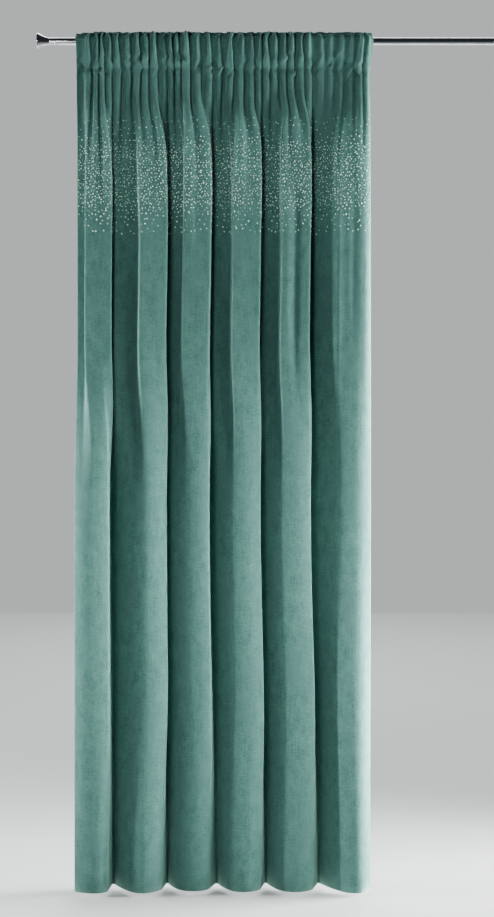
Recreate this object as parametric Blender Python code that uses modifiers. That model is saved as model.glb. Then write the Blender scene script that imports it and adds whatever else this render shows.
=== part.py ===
"""A velvet curtain gathered on a chrome rod, with a trumpet finial at each end.

X runs along the rod to the right, Y goes away from the viewer and Z is up. The
origin is on the rod's axis, above the middle of the curtain. The curtain is one
sheet: it rises from the hem, is gathered at the heading, folds over into a short
upstanding frill and comes down behind the rod to the stitch line, so the two
layers form the pocket that the rod runs through.
"""

import math
from typing import NamedTuple

import bmesh
import bpy
import numpy as np

COLLECTION = "curtain_on_a_rod"

# Rod, collars and finials
ROD_DIAMETER = 0.025
ROD_LEFT = -0.527
ROD_RIGHT = 0.873
ROUND_SIDES = 32
COLLAR_DIAMETER = 0.0264
COLLAR_LENGTH = 0.022
COLLAR_BEAD = 0.0009
COLLAR_BEAD_WIDTH = 0.0019
COLLAR_BEADS = (0.88, 0.50, 0.12)
FINIAL_LENGTH = 0.038
FINIAL_NECK_DIAMETER = 0.0225
FINIAL_RIM_DIAMETER = 0.052
FINIAL_RIM_ROUND = 0.0012
FINIAL_DISH = 0.004
FINIAL_FLARE = 1.35
FINIAL_FLARE_STEPS = 6
PIECE_GAP = 0.0003

# The cloth, lying flat
CLOTH_WIDTH = 1.40
CLOTH_THICKNESS = 0.002

# Heights from the rod's axis
FRILL_TOP = 0.0275
STITCH_LINE = -0.082
HEM = -2.671

# The heading
LAYER_SPACING = 0.0034
COLUMNS_A_GATHER = 4
GATHER_ANGLE = 1.22
SEAM_SPACING = 0.0048
SEAM_WAVE = 0.3
SEAM_STAND = 0.35
SHOULDER_ANGLE = math.radians(47)
SHOULDER_CLEARANCE = 0.0037
SHOULDER_STAND = 0.8
POCKET_CLEARANCE = 0.0017
CLOSING_BELOW_ROD = 0.55
END_REACH = 0.12
POCKET_FLARE = 0.011
FRILL_DROOP = 0.003

# The sheet's left edge, below the heading and further down
LEFT_EDGE = -0.465
LEFT_EDGE_TURNED_BACK = 0.024
LEFT_EDGE_FORWARD = -0.040

# Heights at which the folds change form
FOLDS_BEGIN = -0.11
GATHERS_END = -0.34
STEPS_END = -0.92
ROUND_FROM = -1.45
ROUND_TO = -1.95

# The steepest slope of the cloth, and the share it loses where gathers turn into folds
STEEPEST = math.radians(96)
EASED = 0.38

# Rows of the body, below the stitch line
FINE_ROWS = (-0.135, -0.20, -0.28)
BODY_ROWS = (-0.36, -0.47, -0.62, -0.82, -1.06, -1.32, -1.60, -1.90, -2.20, -2.45, HEM)

SAMPLES_A_FOLD = 160
FITTING_STEPS = 20
COLUMN_MATCH = 1e-6


class Fold(NamedTuple):
    """One main fold, from the left. It ends in a valley, or at the cloth's edge.

    The valley lies at the depth given, behind the rod's axis, and the cloth goes back
    into it at the angle of the return, in degrees.
    """

    gathers: int
    cloth: float
    x_top: float
    x_middle: float
    x_hem: float
    depth: float
    back: float
    step: float


FOLDS = (
    Fold(4, cloth=0.182, x_top=-0.353, x_middle=-0.361, x_hem=-0.352, depth=0.027, back=96, step=0.15),
    Fold(6, cloth=0.266, x_top=-0.176, x_middle=-0.192, x_hem=-0.180, depth=0.036, back=96, step=0.34),
    Fold(5, cloth=0.232, x_top=-0.035, x_middle=-0.046, x_hem=-0.023, depth=0.033, back=95, step=0.24),
    Fold(5, cloth=0.247, x_top=0.119, x_middle=0.107, x_hem=0.133, depth=0.038, back=94, step=0.27),
    Fold(6, cloth=0.258, x_top=0.280, x_middle=0.270, x_hem=0.302, depth=0.036, back=93, step=0.26),
    Fold(6, cloth=0.215, x_top=0.463, x_middle=0.463, x_hem=0.461, depth=-0.018, back=0, step=0.50),
)


class Bend(NamedTuple):
    """The cloth's slope towards the viewer, in degrees, at one place along a fold."""

    along: float
    stepped: float
    rounded: float
    opened: float


def first_fold_bends(step, back, wall):
    """The fold at the left edge: its floor runs out to the edge, which comes forward lower down."""
    turn = 0.985 - wall
    return (
        Bend(0.00, 0, 45, 20),
        Bend(0.06, 0, 34, 12),
        Bend(step - 0.01, 0, 24, 8),
        Bend(step + 0.02, 86, 18, 5),
        Bend(step + wall - 0.04, 86, 4, 1),
        Bend(step + wall - 0.01, 2, 2, 0),
        Bend(0.44, 0, -2, -10),
        Bend(0.59, 0, -14, -38),
        Bend(0.63, 0, -back, -60),
        Bend(turn - 0.03, -2, -back, -60),
        Bend(turn, -back, -back, -60),
        Bend(0.98, -back, -back, -60),
        Bend(1.00, 0, 0, 0),
    )


def inner_fold_bends(step, back, wall):
    """A recessed floor, a step up to the face and a sharp return, rounder lower down."""
    turn = 0.985 - wall
    return (
        Bend(0.00, 0, 0, 0),
        Bend(0.02, 80, 40, 50),
        Bend(0.05, 80, 48, 60),
        Bend(0.08, 4, 46, 58),
        Bend(step - 0.01, 2, 36, 48),
        Bend(step + 0.02, 86, 33, 42),
        Bend(step + wall - 0.04, 86, 22, 22),
        Bend(step + wall - 0.01, 2, 16, 12),
        Bend(0.55, 0, 4, -2),
        Bend(turn - 0.07, -1, -14, -36),
        Bend(turn - 0.04, -2, -back, -50),
        Bend(turn - 0.03, -4, -back, -56),
        Bend(turn, -back, -back, -60),
        Bend(0.98, -back, -back, -60),
        Bend(1.00, 0, 0, 0),
    )


def last_fold_bends(step):
    """The fold at the right edge, which slopes forward to a face that runs out to the edge."""
    return (
        Bend(0.00, 0, 0, 0),
        Bend(0.02, 60, 50, 60),
        Bend(0.06, 60, 60, 74),
        Bend(0.09, 44, 56, 70),
        Bend(0.25, 36, 50, 64),
        Bend(step - 0.04, 28, 42, 56),
        Bend(step - 0.01, 4, 30, 50),
        Bend(step + 0.02, 40, 34, 44),
        Bend(step + 0.08, 22, 22, 32),
        Bend(0.68, 3, 6, 14),
        Bend(0.77, -2, -10, -14),
        Bend(0.88, -10, -38, -44),
        Bend(1.00, -60, -60, -60),
    )


def wall_share(index):
    """The share of a fold's cloth that goes back, so that its floor and its face lie flat."""
    fold = FOLDS[index]
    left = FOLDS[index - 1].x_top if index else LEFT_EDGE
    return (1 - (fold.x_top - left) / fold.cloth) / 2


def bends_of(index):
    fold = FOLDS[index]
    if index == 0:
        return first_fold_bends(fold.step, fold.back, wall_share(index))
    if index == len(FOLDS) - 1:
        return last_fold_bends(fold.step)
    return inner_fold_bends(fold.step, fold.back, wall_share(index))


def ease(value, start, end):
    """0 at start, 1 at end and smooth between them."""
    share = min(1.0, max(0.0, (value - start) / (end - start)))
    return share * share * (3 - 2 * share)


def slopes(index, along, height):
    """The cloth's slope along one fold at a height: gathers above, the fold's own form below."""
    bends = bends_of(index)
    marks = [bend.along for bend in bends]
    stepped = np.interp(along, marks, [bend.stepped for bend in bends])
    rounded = np.interp(along, marks, [bend.rounded for bend in bends])
    opened = np.interp(along, marks, [bend.opened for bend in bends])
    to_round = ease(height, STEPS_END, ROUND_FROM)
    to_open = ease(height, ROUND_TO, HEM)
    upper = stepped * (1 - to_round) + rounded * to_round
    form = np.radians(upper * (1 - to_open) + opened * to_open)
    gathers = GATHER_ANGLE * np.sin(2 * math.pi * FOLDS[index].gathers * along)
    to_folds = ease(height, FOLDS_BEGIN, GATHERS_END)
    steepest = STEEPEST * (1 - EASED * math.sin(math.pi * to_folds))
    return np.clip(gathers * (1 - to_folds) + form * to_folds, -steepest, steepest)


def fitted(slope, cloth, across, forward):
    """Points along a stretch of cloth whose ends lie the given distances apart.

    The slope is scaled and turned a little until both distances are met, so the
    cloth keeps its length.
    """
    scale, turn = 1.0, 0.0
    step = cloth / (len(slope) - 1)
    middle = (slope[1:] + slope[:-1]) / 2
    for _ in range(FITTING_STEPS):
        cosine, sine = np.cos(scale * middle + turn), np.sin(scale * middle + turn)
        error = np.array([cosine.sum() * step - across, sine.sum() * step - forward])
        change = step * np.array([
            [-(middle * sine).sum(), -sine.sum()],
            [(middle * cosine).sum(), cosine.sum()],
        ])
        correction = np.linalg.solve(change, error)
        scale -= correction[0]
        turn -= correction[1]
    x = np.concatenate([[0.0], np.cumsum(np.cos(scale * middle + turn)) * step])
    y = np.concatenate([[0.0], -np.cumsum(np.sin(scale * middle + turn)) * step])
    return x, y


def fold_end(index, height):
    """X and Y of a fold's right-hand end, a valley or the cloth's edge, at a height."""
    fold = FOLDS[index]
    to_folds = ease(height, FOLDS_BEGIN, GATHERS_END)
    to_middle = ease(height, GATHERS_END, ROUND_FROM)
    to_hem = ease(height, ROUND_FROM, HEM)
    x = fold.x_top * (1 - to_middle) + fold.x_middle * to_middle
    x = x * (1 - to_hem) + fold.x_hem * to_hem
    return x, gather_depth() / 2 * (1 - to_folds) + fold.depth * to_folds


def section(height, columns):
    """X and Y of the sheet's middle at the cloth's columns, at a height of the body."""
    to_folds = ease(height, FOLDS_BEGIN, GATHERS_END)
    to_round = ease(height, STEPS_END, ROUND_FROM)
    edge = LEFT_EDGE_TURNED_BACK * (1 - to_round) + LEFT_EDGE_FORWARD * to_round
    start_x = LEFT_EDGE
    start_y = gather_depth() / 2 * (1 - to_folds) + edge * to_folds
    along = np.linspace(0, 1, SAMPLES_A_FOLD + 1)
    flat = 0.0
    line_u, line_x, line_y = [], [], []
    for index, fold in enumerate(FOLDS):
        end_x, end_y = fold_end(index, height)
        x, y = fitted(slopes(index, along, height), fold.cloth, end_x - start_x, start_y - end_y)
        line_u.append(flat + along * fold.cloth)
        line_x.append(start_x + x)
        line_y.append(start_y + y)
        flat += fold.cloth
        start_x, start_y = end_x, end_y
    places = np.concatenate(line_u)
    x_at, y_at = np.concatenate(line_x), np.concatenate(line_y)
    return np.interp(columns, places, x_at), np.interp(columns, places, y_at)


def gather_depth():
    """From the valley to the crest of a gather at the heading."""
    pitch = CLOTH_WIDTH / sum(fold.gathers for fold in FOLDS)
    half = np.linspace(0, 0.5, SAMPLES_A_FOLD)
    return float(np.sin(GATHER_ANGLE * np.sin(2 * math.pi * half)).mean() / 2 * pitch)


def fine_columns():
    """Places across the flat cloth: its edges, and four on each gather beside crest and valley."""
    places, start = [0.0], 0.0
    for fold in FOLDS:
        count = fold.gathers * COLUMNS_A_GATHER
        places += [start + (number + 0.5) / count * fold.cloth for number in range(count)]
        start += fold.cloth
    return np.array(places + [start])


def corners_of(index):
    """Places along a fold's cloth where its form turns."""
    step, wall = FOLDS[index].step, wall_share(index)
    if index == 0:
        return (0.06, step, 0.20, step + wall - 0.02, 0.44, 0.55, 0.62, 0.70, 0.97 - wall, 0.985)
    if index == len(FOLDS) - 1:
        return (0.015, 0.07, 0.22, step - 0.03, step + 0.01, 0.58, 0.67, 0.77, 0.86, 0.94, 1.0)
    turn = 0.97 - wall
    return (0.015, 0.065, 0.16, step, step + wall - 0.02, 0.52, 0.63, turn - 0.05, turn, 0.985)


def body_columns():
    """Places across the flat cloth below the heading: its edges and the folds' corners."""
    places, start = [0.0], 0.0
    for index, fold in enumerate(FOLDS):
        places += [start + corner * fold.cloth for corner in corners_of(index)]
        start += fold.cloth
    return np.array(places)


def offset_line(x, y, distance):
    """A line beside another, mitred at its corners, on the viewer's side if distance is positive."""
    along = np.stack([np.diff(x), np.diff(y)], axis=1)
    along /= np.linalg.norm(along, axis=1)[:, None]
    normal = np.stack([along[:, 1], -along[:, 0]], axis=1)
    before = np.vstack([normal[:1], normal])
    after = np.vstack([normal, normal[-1:]])
    mitre = (before + after) / (1 + (before * after).sum(axis=1))[:, None]
    return x + mitre[:, 0] * distance, y + mitre[:, 1] * distance


def near_ends(columns):
    """1 at the cloth's left and right edge, falling to 0 a short way in from each."""
    at_left = np.clip(1 - columns / END_REACH, 0, 1)
    at_right = np.clip(1 - (columns[-1] - columns) / END_REACH, 0, 1)
    return at_left, at_right


def heading_rows(columns):
    """The heading's rows: those that rise behind the rod, and those from the frill down the front."""
    x, y = section(STITCH_LINE, columns)
    depth = gather_depth()
    stand = depth / 2 - y
    at_left, at_right = near_ends(columns)
    frill_top = FRILL_TOP - FRILL_DROOP * (at_left**2 + at_right**2)
    touch = ROD_DIAMETER / 2 + PIECE_GAP + CLOTH_THICKNESS / 2
    clear = touch + POCKET_CLEARANCE
    shoulder = touch + SHOULDER_CLEARANCE

    def sewn(side, height):
        return (*offset_line(x, y, -side * LAYER_SPACING / 2), height + np.zeros_like(x))

    def over_rod(side):
        across, back = offset_line(x, y * SEAM_WAVE, -side * SEAM_SPACING / 2)
        reach = touch + PIECE_GAP + stand * SEAM_STAND
        return across, back, np.sqrt(reach**2 - back**2)

    def around(side, angle, radius, share):
        reach = radius + stand * share
        across = x + POCKET_FLARE * math.sin(angle) ** 3 * at_right
        return across, side * reach * math.sin(angle), reach * math.cos(angle)

    def below_rod(side, share):
        upper, lower = around(side, math.pi / 2, clear, 1.0), sewn(side, STITCH_LINE)
        return tuple(a * (1 - share) + b * share for a, b in zip(upper, lower))

    def half(side):
        return [
            sewn(side, STITCH_LINE),
            below_rod(side, CLOSING_BELOW_ROD),
            around(side, math.pi / 2, clear, 1.0),
            around(side, SHOULDER_ANGLE, shoulder, SHOULDER_STAND),
            over_rod(side),
            sewn(side, frill_top - CLOTH_THICKNESS),
        ]

    return half(+1), [(x, y, frill_top)] + half(-1)[::-1]


def add_row(mesh, columns, x, y, z):
    return [(u, mesh.verts.new(point)) for u, point in zip(columns, zip(x, y, z))]


def join_rows(mesh, upper, lower, rising=False):
    """Triangles between two rows, which need not have the same columns.

    Where the sheet rises behind the rod the diagonals turn over, so that they
    lie alongside those of the layer in front.
    """
    i = j = 0
    while i < len(upper) - 1 or j < len(lower) - 1:
        next_upper = upper[i + 1][0] if i < len(upper) - 1 else math.inf
        next_lower = lower[j + 1][0] if j < len(lower) - 1 else math.inf
        level = abs(next_upper - next_lower) < COLUMN_MATCH
        if (level and rising) or next_upper < next_lower - COLUMN_MATCH:
            mesh.faces.new((upper[i][1], lower[j][1], upper[i + 1][1]))
            i += 1
        else:
            mesh.faces.new((upper[i][1], lower[j][1], lower[j + 1][1]))
            j += 1


def link(collection, name, mesh, material):
    mesh.materials.append(material)
    made = bpy.data.objects.new(name, mesh)
    collection.objects.link(made)
    return made


def make_curtain(collection, material):
    mesh = bmesh.new()
    fine = fine_columns()
    corners = body_columns()
    behind, front = heading_rows(fine)
    rows = [add_row(mesh, fine, *row) for row in behind + front]
    for columns, heights in ((fine, FINE_ROWS), (corners, BODY_ROWS)):
        for height in heights:
            x, y = section(height, columns)
            rows.append(add_row(mesh, columns, x, y, np.full_like(x, height)))
    for number, (upper, lower) in enumerate(zip(rows, rows[1:])):
        join_rows(mesh, upper, lower, rising=number < len(behind))
    sheet = bpy.data.meshes.new("curtain")
    mesh.to_mesh(sheet)
    mesh.free()
    sheet.shade_smooth()
    made = link(collection, "curtain", sheet, material)
    thickness = made.modifiers.new("cloth thickness", "SOLIDIFY")
    thickness.thickness = CLOTH_THICKNESS
    thickness.offset = 0
    thickness.use_even_offset = True
    thickness.use_quality_normals = True
    return made


def turned(collection, name, outline, material, place, to_left):
    """A turned piece on the rod's axis. The outline holds (radius, distance outwards) pairs."""
    mesh = bmesh.new()
    points = [mesh.verts.new((radius, 0, out)) for radius, out in outline]
    for start, end in zip(points, points[1:]):
        mesh.edges.new((start, end))
    profile = bpy.data.meshes.new(name)
    mesh.to_mesh(profile)
    mesh.free()
    made = link(collection, name, profile, material)
    screw = made.modifiers.new("turn", "SCREW")
    screw.steps = ROUND_SIDES
    screw.render_steps = ROUND_SIDES
    screw.use_merge_vertices = True
    screw.merge_threshold = 0.00001
    screw.use_smooth_shade = True
    made.location = (place, 0, 0)
    made.rotation_euler = (0, math.radians(-90 if to_left else 90), 0)
    return made


def collar_outline():
    """A sleeve with three beads, from its outer end to the rod, as (radius, distance) pairs."""
    radius = COLLAR_DIAMETER / 2
    groove = radius - COLLAR_BEAD
    outline = [(0.0, COLLAR_LENGTH), (groove, COLLAR_LENGTH)]
    for share in COLLAR_BEADS:
        middle = share * COLLAR_LENGTH
        outline += [
            (groove, middle + COLLAR_BEAD_WIDTH),
            (radius, middle + COLLAR_BEAD_WIDTH / 2),
            (radius, middle - COLLAR_BEAD_WIDTH / 2),
            (groove, middle - COLLAR_BEAD_WIDTH),
        ]
    return outline + [(groove, 0.0), (0.0, 0.0)]


def finial_outline():
    """A trumpet with a dished end, from its rim to its neck, as (radius, distance) pairs."""
    neck, rim = FINIAL_NECK_DIAMETER / 2, FINIAL_RIM_DIAMETER / 2
    round_over = FINIAL_RIM_ROUND
    flare_top = FINIAL_LENGTH - 3 * round_over
    outline = [
        (0.0, FINIAL_LENGTH - FINIAL_DISH),
        (rim - 3 * round_over, FINIAL_LENGTH - round_over / 2),
        (rim - round_over, FINIAL_LENGTH),
        (rim, FINIAL_LENGTH - round_over),
        (rim, flare_top),
    ]
    for number in range(1, FINIAL_FLARE_STEPS + 1):
        left = 1 - number / FINIAL_FLARE_STEPS
        outline.append((neck + (rim - neck) * left**FINIAL_FLARE, flare_top * left))
    return outline + [(0.0, 0.0)]


def make_rod(collection, material):
    length = ROD_RIGHT - ROD_LEFT
    radius = ROD_DIAMETER / 2
    mesh = bmesh.new()
    bmesh.ops.create_cone(
        mesh, cap_ends=True, segments=ROUND_SIDES, radius1=radius, radius2=radius, depth=length
    )
    tube = bpy.data.meshes.new("rod")
    mesh.to_mesh(tube)
    mesh.free()
    tube.shade_smooth()
    tube.set_sharp_from_angle(angle=math.radians(40))
    made = link(collection, "rod", tube, material)
    made.location = ((ROD_LEFT + ROD_RIGHT) / 2, 0, 0)
    made.rotation_euler = (0, math.radians(90), 0)
    return made


def make_rod_ends(collection, material):
    for side, end, outwards in (("left", ROD_LEFT, -1), ("right", ROD_RIGHT, 1)):
        to_left = outwards < 0
        collar_place = end + outwards * PIECE_GAP
        finial_place = collar_place + outwards * (COLLAR_LENGTH + PIECE_GAP)
        turned(collection, f"collar_{side}", collar_outline(), material, collar_place, to_left)
        turned(collection, f"finial_{side}", finial_outline(), material, finial_place, to_left)


def principled(name, colour, roughness, metallic=0.0):
    material = bpy.data.materials.new(name)
    material.use_nodes = True
    shader = material.node_tree.nodes["Principled BSDF"]
    shader.inputs["Base Color"].default_value = (*colour, 1)
    shader.inputs["Roughness"].default_value = roughness
    shader.inputs["Metallic"].default_value = metallic
    return material


def main():
    for old in list(bpy.data.objects):
        bpy.data.objects.remove(old)
    collection = bpy.data.collections.new(COLLECTION)
    bpy.context.scene.collection.children.link(collection)
    velvet = principled("green velvet", (0.12, 0.24, 0.20), 0.9)
    chrome = principled("polished chrome", (0.75, 0.76, 0.78), 0.12, 1.0)
    make_curtain(collection, velvet)
    make_rod(collection, chrome)
    make_rod_ends(collection, chrome)


main()
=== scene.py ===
"""The looks of a velvet curtain gathered on a chrome rod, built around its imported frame.

X runs along the rod to the right, Y goes away from the viewer and Z is up. The
origin is on the rod's axis, above the middle of the curtain. The curtain is one
sheet of velvet: it rises from the hem, is gathered at the heading, folds over into
a frill and comes down behind the rod to the stitch line.
"""

import functools
import math
import random
from typing import NamedTuple

import bmesh
import bpy
import numpy as np
from bpy.props import (
    FloatProperty,
    FloatVectorProperty,
    IntProperty,
    PointerProperty,
)
from bpy.types import Operator, Panel, PropertyGroup
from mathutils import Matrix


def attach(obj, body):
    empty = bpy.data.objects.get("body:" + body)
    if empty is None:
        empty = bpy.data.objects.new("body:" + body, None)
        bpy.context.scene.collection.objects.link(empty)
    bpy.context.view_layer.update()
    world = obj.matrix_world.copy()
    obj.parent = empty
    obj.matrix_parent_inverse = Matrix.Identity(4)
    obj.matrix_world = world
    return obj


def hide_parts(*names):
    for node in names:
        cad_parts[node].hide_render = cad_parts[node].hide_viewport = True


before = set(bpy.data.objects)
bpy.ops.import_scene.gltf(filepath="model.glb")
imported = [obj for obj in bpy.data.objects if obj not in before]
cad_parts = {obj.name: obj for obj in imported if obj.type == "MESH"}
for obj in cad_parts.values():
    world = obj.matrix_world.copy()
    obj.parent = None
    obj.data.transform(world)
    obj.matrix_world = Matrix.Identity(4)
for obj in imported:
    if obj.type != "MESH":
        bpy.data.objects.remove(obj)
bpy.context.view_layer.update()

bl_info = {
    "name": "Velvet Curtain on a Rod",
    "version": (1, 0, 0),
    "blender": (4, 5, 0),
    "location": "3D View > Sidebar > Curtain",
    "description": "Builds a gathered velvet curtain with a scatter of stones on a chrome rod",
    "category": "Object",
}

BODY = "root"

# Rod, collars and finials
ROD_DIAMETER = 0.025
ROD_LEFT = -0.527
ROD_RIGHT = 0.873
COLLAR_DIAMETER = 0.0264
COLLAR_LENGTH = 0.022
COLLAR_BEAD = 0.0009
COLLAR_BEADS = (0.88, 0.50, 0.12)
COLLAR_BEAD_WIDTH = 0.0019
FINIAL_LENGTH = 0.038
FINIAL_NECK_DIAMETER = 0.0225
FINIAL_RIM_DIAMETER = 0.052
FINIAL_RIM_ROUND = 0.0012
FINIAL_DISH = 0.004
FINIAL_DISH_TO = 0.96
FINIAL_FLARE = 1.35
ROD_EDGE = 0.0006
PIECE_GAP = 0.0003
ROUND_SIDES = 96
SHARP_FROM = math.radians(38)

# The cloth, lying flat
CLOTH_WIDTH = 1.40
CLOTH_THICKNESS = 0.0018

# Heights from the rod's axis
FRILL_TOP = 0.0275
STITCH_LINE = -0.082
HEM = -2.671

# The gathers: how sharp their crests are, below the stitches and in the pocket, how far
# the crests lean to the right, and the ranges of their depth and of the ruffle in them
GATHER_PINCH = 0.50
POCKET_PINCH = -0.25
GATHER_SKEW = (0.10, 0.70)
FIRST_GATHER_LATE = 2.6
LAST_GATHER_EARLY = 0.60
GATHER_DEPTHS = (0.68, 1.3)
GATHER_RUFFLE = (-0.04, 0.30)
GATHER_EVEN = 0.3
AVERAGE_GATHER_SLOPE = 1.22
# The share of a gather's cloth that it covers across, at most
LEAST_GATHERED = 0.98

# The heading: its two layers, the seam over the rod, the frill and the pocket
LAYER_SPACING = 0.0034
SEAM_SPACING = 0.0048
SEAM_WAVE = 0.3
SEAM_STAND = 0.45
SEAM_FORWARD = 0.004
SEAM_LEAST = 0.5
FRILL_WAVE = 0.6
FRILL_FORWARD = 0.0065
FRILL_TURN = 0.3
SHOULDER_ANGLE = math.radians(47)
SHOULDER_CLEARANCE = 0.0037
SHOULDER_STAND = 0.8
POCKET_CLEARANCE = 0.0017
CLOSING_BELOW_ROD = 0.55
END_REACH = 0.12
POCKET_FLARE = 0.011
POCKET_DEEPER = 1.35
FRILL_DROOP = 0.003
FRILL_UNEVEN = 0.0016
LEAN = 0.0058
ROWS_BEHIND = 11
ROWS_IN_FRONT = 36

# The stitch line: the thread holds the gathers back and aside, and puckers the cloth
HELD_BACK = 0.26
HELD_REACH = 0.012
HELD_UNEVEN = 0.011
KINK = 0.0030
LOOSE_EDGE = 0.03
PUCKERS = 150
PUCKERS_FROM = -0.014
PUCKERS_FADE = 0.02

# The puckers' heights from the stitch line, slants in degrees, lengths and widths in metres,
# and depths in millimetres
PUCKER_HEIGHTS = (-0.026, 0.042)
PUCKER_SLANTS = (22, 58)
PUCKER_LENGTHS = (0.010, 0.022)
PUCKER_WIDTHS = (0.0036, 0.0054)
PUCKER_DEPTHS = (-9.5, 8.0)

# The sheet's left edge, below the heading and further down
LEFT_EDGE = -0.465
LEFT_EDGE_TURNED_BACK = 0.024
LEFT_EDGE_FORWARD = -0.040

# Heights at which the folds change form
FOLDS_BEGIN = -0.11
GATHERS_END = -0.34
GATHERS_FULL = -0.10
GATHERS_FADE = (-0.36, -0.62)
STEPS_END = -0.92
ROUND_FROM = -1.45
ROUND_TO = -1.95
CREASE_FADE = 0.3

# The share of a fold's cloth at which its valley begins
VALLEY_FROM = 0.985

# The steepest slope of the cloth, and the share it loses where gathers turn into folds
STEEPEST = math.radians(96)
EASED = 0.38

# Rows of the body as (down to this height, number of rows)
BODY_ROWS = ((-0.13, 9), (-0.22, 8), (-0.62, 18), (-1.30, 12), (HEM, 18))
CLOTH_COLUMNS = 430

SAMPLES_A_FOLD = 260
FITTING_STEPS = 20


class Fold(NamedTuple):
    """One main fold, from the left. It ends in a valley, or at the cloth's edge.

    The valley lies at the depth given, behind the rod's axis, and the cloth goes back
    into it at the angle of the return, in degrees. The fold's face begins at the step, a
    share of its cloth. The widths are those of its gathers at the heading, in millimetres.
    """

    widths: tuple
    cloth: float
    x_top: float
    x_middle: float
    x_hem: float
    depth: float
    back: float
    step: float


FOLDS = (
    Fold((45, 24, 22, 21), 0.182, -0.353, -0.361, -0.352, 0.027, 96, 0.15),
    Fold((29, 32, 31, 28, 32, 25), 0.266, -0.176, -0.192, -0.180, 0.036, 96, 0.34),
    Fold((23, 26, 33, 30, 31), 0.232, -0.035, -0.046, -0.023, 0.033, 95, 0.24),
    Fold((24, 38, 31, 32, 28), 0.247, 0.119, 0.107, 0.133, 0.038, 94, 0.27),
    Fold((31, 27, 27, 25, 30, 23), 0.258, 0.280, 0.270, 0.302, 0.036, 93, 0.26),
    Fold((41, 25, 28, 32, 30, 27), 0.215, 0.463, 0.463, 0.461, -0.018, 0, 0.50),
)


class Bend(NamedTuple):
    """The cloth's slope towards the viewer, in degrees, at one place along a fold."""

    along: float
    stepped: float
    rounded: float
    opened: float


class Crease(NamedTuple):
    """A soft ridge along a fold, or a trough where the angle is negative.

    The width is in millimetres of cloth, the angle in degrees, top and bottom are heights.
    """

    fold: int
    along: float
    width: float
    angle: float
    top: float
    bottom: float


CREASES = (
    Crease(0, 0.47, 7, 14, -0.15, -0.70),
    Crease(1, 0.44, 8, 10, -0.20, -0.60),
    Crease(2, 0.50, 8, 12, -0.20, -0.75),
    Crease(4, 0.60, 9, -24, -0.36, -1.15),
    Crease(4, 0.49, 8, 14, -0.36, -1.00),
    Crease(5, 0.72, 9, -12, -0.34, -1.00),
)


def first_fold_bends(step, back, wall):
    """The fold at the left edge. Its floor runs out to the edge, which comes forward below."""
    turn = VALLEY_FROM - wall
    return (
        Bend(0.00, 0, 45, 20),
        Bend(0.06, 0, 34, 12),
        Bend(step - 0.01, 0, 24, 8),
        Bend(step + 0.02, 86, 18, 5),
        Bend(step + wall - 0.04, 86, 4, 1),
        Bend(step + wall - 0.01, 2, 2, 0),
        Bend(0.44, 0, -2, -10),
        Bend(0.59, 0, -14, -38),
        Bend(0.63, 0, -back, -60),
        Bend(turn - 0.03, -2, -back, -60),
        Bend(turn, -back, -back, -60),
        Bend(0.98, -back, -back, -60),
        Bend(1.00, 0, 0, 0),
    )


def inner_fold_bends(step, back, wall):
    """A recessed floor, a step up to the face and a sharp return, rounder lower down."""
    turn = VALLEY_FROM - wall
    return (
        Bend(0.00, 0, 0, 0),
        Bend(0.02, 80, 40, 50),
        Bend(0.05, 80, 48, 60),
        Bend(0.08, 4, 46, 58),
        Bend(step - 0.01, 2, 36, 48),
        Bend(step + 0.02, 86, 33, 42),
        Bend(step + wall - 0.04, 86, 22, 22),
        Bend(step + wall - 0.01, 2, 16, 12),
        Bend(0.55, 0, 4, -2),
        Bend(turn - 0.07, -1, -14, -36),
        Bend(turn - 0.04, -2, -back, -50),
        Bend(turn - 0.03, -4, -back, -56),
        Bend(turn, -back, -back, -60),
        Bend(0.98, -back, -back, -60),
        Bend(1.00, 0, 0, 0),
    )


def last_fold_bends(step):
    """The fold at the right edge, which slopes forward to a face that runs out to the edge."""
    return (
        Bend(0.00, 0, 0, 0),
        Bend(0.02, 60, 50, 60),
        Bend(0.06, 60, 60, 74),
        Bend(0.09, 44, 56, 70),
        Bend(0.25, 36, 50, 64),
        Bend(step - 0.04, 28, 42, 56),
        Bend(step - 0.01, 4, 30, 50),
        Bend(step + 0.02, 40, 34, 44),
        Bend(step + 0.08, 22, 22, 32),
        Bend(0.68, 3, 6, 14),
        Bend(0.77, -2, -10, -14),
        Bend(0.88, -10, -38, -44),
        Bend(1.00, -60, -60, -60),
    )


def wall_share(index):
    """The share of a fold's cloth that goes back, so that its floor and its face lie flat."""
    fold = FOLDS[index]
    left = FOLDS[index - 1].x_top if index else LEFT_EDGE
    return (1 - (fold.x_top - left) / fold.cloth) / 2


def bends_of(index):
    """The form of one fold, as the bends along its cloth."""
    fold = FOLDS[index]
    if index == 0:
        return first_fold_bends(fold.step, fold.back, wall_share(index))
    if index == len(FOLDS) - 1:
        return last_fold_bends(fold.step)
    return inner_fold_bends(fold.step, fold.back, wall_share(index))


def ease(value, start, end):
    """0 at start, 1 at end and smooth between them."""
    share = np.clip((value - start) / (end - start), 0, 1)
    return share * share * (3 - 2 * share)


class Gather(NamedTuple):
    """One gather of a fold: its stretch of the fold's cloth and its steepest slope.

    Its crest is skewed to one side, its ruffle is the share of a shorter wave in it,
    and it fades out at a height.
    """

    start: float
    end: float
    angle: float
    skew: float
    ruffle: float
    fades_at: float


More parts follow.
